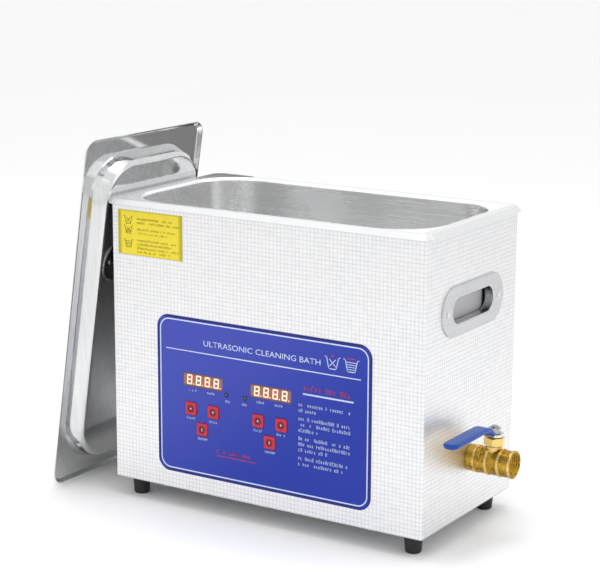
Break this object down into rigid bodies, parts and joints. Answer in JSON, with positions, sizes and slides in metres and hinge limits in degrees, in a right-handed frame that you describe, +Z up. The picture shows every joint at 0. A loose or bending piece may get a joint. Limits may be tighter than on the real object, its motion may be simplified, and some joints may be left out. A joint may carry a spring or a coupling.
{
  "type": "ultrasonic cleaner",
  "caption": "Benchtop ultrasonic cleaner: steel case with a rimmed tank, key panel, side grips, drain valve with a lever, and a loose pressed lid leaning on its left side.",
  "frame": {"origin": "centre of the case's footprint, on the bench", "axes": "+Z up, -Y the front with the key panel, +X the side with the drain valve"},
  "size_m": [0.425, 0.188, 0.3263],
  "materials": {
    "linen_steel": "bright stainless sheet rolled with a fine square grid",
    "polished_steel": "polished stainless",
    "plain_steel": "satin steel",
    "zinc_screw": "bright plated",
    "black_rubber": "matte black",
    "seal_rubber": "grey silicone",
    "panel_print": "royal blue printed film",
    "label_print": "yellow printed film",
    "brass": "turned brass",
    "ptfe": "white",
    "lever_blue": "dipped blue vinyl",
    "display_filter": "smoked brown window",
    "lamp": "clear red lamp",
    "key_red": "crimson",
    "black_plastic": "moulded black",
    "rocker_red": "glossy red",
    "board": "green laminate",
    "aluminium": "turned aluminium",
    "piezo": "sintered grey ceramic",
    "copper": "copper foil",
    "heater": "orange silicone mat",
    "winding": "yellow taped winding",
    "capacitor": "dark blue sleeve"
  },
  "bodies": {
    "cleaner": {"base_plate": "plain_steel", "board_standoffs": "brass", "capacitors": "capacitor", "case_wrap": "linen_steel", "control_board": "board", "display_temp": "display_filter", "display_time": "display_filter", "drain_elbow": "plain_steel", "drain_locknut": "plain_steel", "drain_nipple": "plain_steel", "drain_spud": "plain_steel", "drain_spud_nut": "plain_steel", "electrodes": "copper", "fan_frame": "black_plastic", "fan_guard": "plain_steel", "feet": "black_rubber", "generator_board": "board", "grip_rivets": "zinc_screw", "hand_grip_left": "polished_steel", "hand_grip_right": "polished_steel", "heater_pad_front": "heater", "heater_pad_rear": "heater", "heatsink": "aluminium", "indicator_lamps": "lamp", "instruction_label": "label_print", "key_switches": "black_plastic", "packing_nut": "brass", "panel_overlay": "panel_print", "piezo_rings": "piezo", "power_inlet": "black_plastic", "rear_panel": "linen_steel", "rear_screws": "zinc_screw", "rocker_frame": "black_plastic", "tail_masses": "plain_steel", "tank": "polished_steel", "tank_rim_seal": "seal_rubber", "thermostat": "black_plastic", "transducer_bolts": "zinc_screw", "transducer_front_masses": "aluminium", "transformer": "winding", "underside_screws": "zinc_screw", "valve_body": "brass", "valve_seats": "ptfe", "valve_tailpiece": "brass"},
    "valve_turner": {"valve_ball": "zinc_screw", "valve_stem": "brass", "lever": "plain_steel", "lever_sleeve": "lever_blue", "lever_nut": "zinc_screw"},
    "loose_lid": {"lid": "polished_steel", "lid_handle": "polished_steel", "lid_handle_nuts": "zinc_screw"},
    "mains_rocker": {"rocker": "rocker_red"},
    "fan_wheel": {"fan_rotor": "black_plastic"},
    "press_temp_up": {"key_temp_up": "key_red"},
    "press_temp_down": {"key_temp_down": "key_red"},
    "press_heat_power": {"key_heat_power": "key_red"},
    "press_time_up": {"key_time_up": "key_red"},
    "press_time_down": {"key_time_down": "key_red"},
    "press_clean_power": {"key_clean_power": "key_red"}
  },
  "joints": [
    {"name": "valve_turn", "type": "hinge", "parent": "cleaner", "child": "valve_turner", "pos_m": [0.1815, 0.003, 0.0678], "axis": [0, 0, 1], "range_deg": [0, 90]},
    {"name": "lid_lift", "type": "slide", "parent": "cleaner", "child": "loose_lid", "axis": [0, 0, 1], "range_m": [0, 0.33]},
    {"name": "rocker_tip", "type": "hinge", "parent": "cleaner", "child": "mains_rocker", "pos_m": [0.058, 0.084, 0.062], "axis": [-1, 0, 0], "range_deg": [0, 18]},
    {"name": "fan_spin", "type": "hinge", "parent": "cleaner", "child": "fan_wheel", "pos_m": [-0.085, 0.075, 0.063], "axis": [0, 1, 0], "continuous": true},
    {"name": "press_temp_up", "type": "slide", "parent": "cleaner", "child": "press_temp_up", "axis": [0, 1, 0], "range_m": [0, 0.0008], "stiffness_N_per_m": 400},
    {"name": "press_temp_down", "type": "slide", "parent": "cleaner", "child": "press_temp_down", "axis": [0, 1, 0], "range_m": [0, 0.0008], "stiffness_N_per_m": 400},
    {"name": "press_heat_power", "type": "slide", "parent": "cleaner", "child": "press_heat_power", "axis": [0, 1, 0], "range_m": [0, 0.0008], "stiffness_N_per_m": 400},
    {"name": "press_time_up", "type": "slide", "parent": "cleaner", "child": "press_time_up", "axis": [0, 1, 0], "range_m": [0, 0.0008], "stiffness_N_per_m": 400},
    {"name": "press_time_down", "type": "slide", "parent": "cleaner", "child": "press_time_down", "axis": [0, 1, 0], "range_m": [0, 0.0008], "stiffness_N_per_m": 400},
    {"name": "press_clean_power", "type": "slide", "parent": "cleaner", "child": "press_clean_power", "axis": [0, 1, 0], "range_m": [0, 0.0008], "stiffness_N_per_m": 400}
  ]
}
